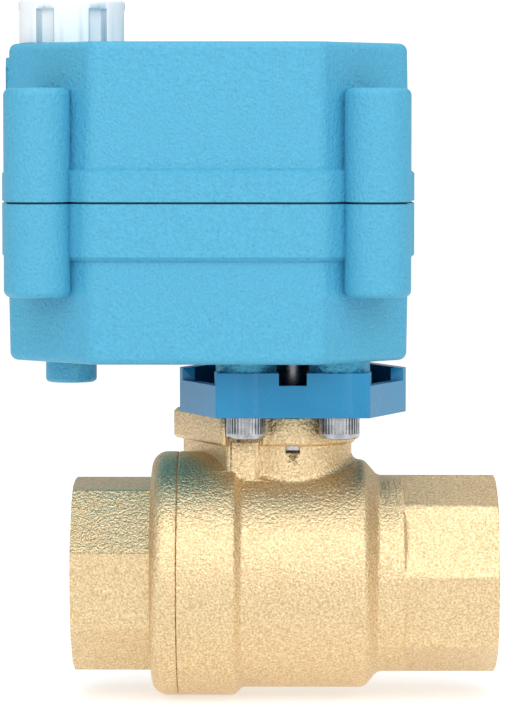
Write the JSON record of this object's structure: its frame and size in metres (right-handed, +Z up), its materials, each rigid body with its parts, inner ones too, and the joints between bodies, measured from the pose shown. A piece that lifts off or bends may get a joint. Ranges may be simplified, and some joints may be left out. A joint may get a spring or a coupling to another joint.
{
  "type": "motorized ball valve",
  "caption": "Brass ball valve with threaded ports and a blue plastic electric actuator that turns its ball a quarter turn; nylon cable gland on top.",
  "frame": {"origin": "centre of the outlet port's face, on the pipe axis", "axes": "+X along the pipe, out of the outlet port; +Z up the stem towards the actuator; +Y to the back, away from the side with the columns shown in front"},
  "size_m": [0.0682, 0.044, 0.0968],
  "materials": {
    "sand_blasted_brass": "bead-blasted, bare",
    "blue_housing": "fine spark texture, moulded",
    "blue_bracket": "moulded, smooth matte",
    "zinc_screw": "zinc plated",
    "seat_ptfe": "skived white",
    "chromed_ball": "polished",
    "turned_brass": "turned",
    "black_rubber": "moulded",
    "natural_nylon": "natural translucent",
    "white_acetal": "moulded",
    "motor_steel": "drawn and plated",
    "motor_cap": "moulded",
    "plate_steel": "stamped",
    "shaft_steel": "ground",
    "board_green": "solder mask",
    "switch_black": "moulded",
    "plunger_red": "moulded",
    "relay_blue": "moulded",
    "capacitor_sleeve": "sleeve",
    "indicator_yellow": "moulded",
    "clear_window": "clear, polished"
  },
  "bodies": {
    "valve_and_case": {"valve_body": "sand_blasted_brass", "end_cap": "sand_blasted_brass", "end_cap_seal": "black_rubber", "valve_seats": "seat_ptfe", "stem_washer": "seat_ptfe", "mounting_bracket": "blue_bracket", "flange_screws": "zinc_screw", "actuator_screws": "zinc_screw", "lower_housing": "blue_housing", "upper_housing": "blue_housing", "housing_gasket": "black_rubber", "cover_screws": "zinc_screw", "motor_can": "motor_steel", "motor_end_cap": "motor_cap", "motor_screws": "zinc_screw", "gear_axles": "shaft_steel", "gear_plate": "plate_steel", "upper_gear_plate": "plate_steel", "gear_spacers": "turned_brass", "gear_plate_screws": "zinc_screw", "output_bush": "turned_brass", "circuit_board": "board_green", "board_screws": "zinc_screw", "limit_switches": "switch_black", "relay": "relay_blue", "capacitor": "capacitor_sleeve", "wire_terminal": "white_acetal", "indicator_window": "clear_window", "gland_body": "natural_nylon", "gland_seal": "black_rubber", "gland_nut": "natural_nylon"},
    "output_drive": {"ball": "chromed_ball", "stem": "turned_brass", "stem_seals": "black_rubber", "output_shaft": "shaft_steel", "output_seal": "black_rubber", "output_gear": "turned_brass", "limit_cam": "white_acetal", "position_indicator": "indicator_yellow"},
    "second_gear": {"second_gear": "white_acetal"},
    "first_gear": {"first_gear": "white_acetal"},
    "motor_rotor": {"motor_shaft": "shaft_steel", "motor_pinion": "turned_brass"},
    "open_plunger": {"open_switch_plunger": "plunger_red"},
    "closed_plunger": {"closed_switch_plunger": "plunger_red"}
  },
  "joints": [
    {"name": "valve_turn", "type": "hinge", "parent": "valve_and_case", "child": "output_drive", "pos_m": [-0.0283, 0, 0], "axis": [0, 0, -1], "range_deg": [0, 90]},
    {"name": "second_gear_spin", "type": "hinge", "parent": "valve_and_case", "child": "second_gear", "pos_m": [-0.0402, -0.0057, 0.06], "axis": [0, 0, -1], "range_deg": [-307, 0]},
    {"name": "first_gear_spin", "type": "hinge", "parent": "valve_and_case", "child": "first_gear", "pos_m": [-0.0486, 0.00287, 0.06], "axis": [0, 0, -1], "range_deg": [0, 919]},
    {"name": "motor_spin", "type": "hinge", "parent": "valve_and_case", "child": "motor_rotor", "pos_m": [-0.0587, 0, 0.06], "axis": [0, 0, -1], "range_deg": [-2938.6, 0]},
    {"name": "open_plunger_slide", "type": "slide", "parent": "valve_and_case", "child": "open_plunger", "axis": [0, -1, 0], "range_m": [0, 0.000701]},
    {"name": "closed_plunger_slide", "type": "slide", "parent": "valve_and_case", "child": "closed_plunger", "axis": [0, -1, 0], "range_m": [0, 0.000701]}
  ],
  "couplings": [
    {"joint": "second_gear_spin", "follows": "valve_turn", "ratio": -3.4},
    {"joint": "first_gear_spin", "follows": "valve_turn", "ratio": 10.2},
    {"joint": "motor_spin", "follows": "valve_turn", "ratio": -32.64},
    {"joint": "open_plunger_slide", "follows": "valve_turn", "m_per_rad": 0.00044563},
    {"joint": "closed_plunger_slide", "follows": "valve_turn", "m_per_rad": 0.00044563}
  ]
}
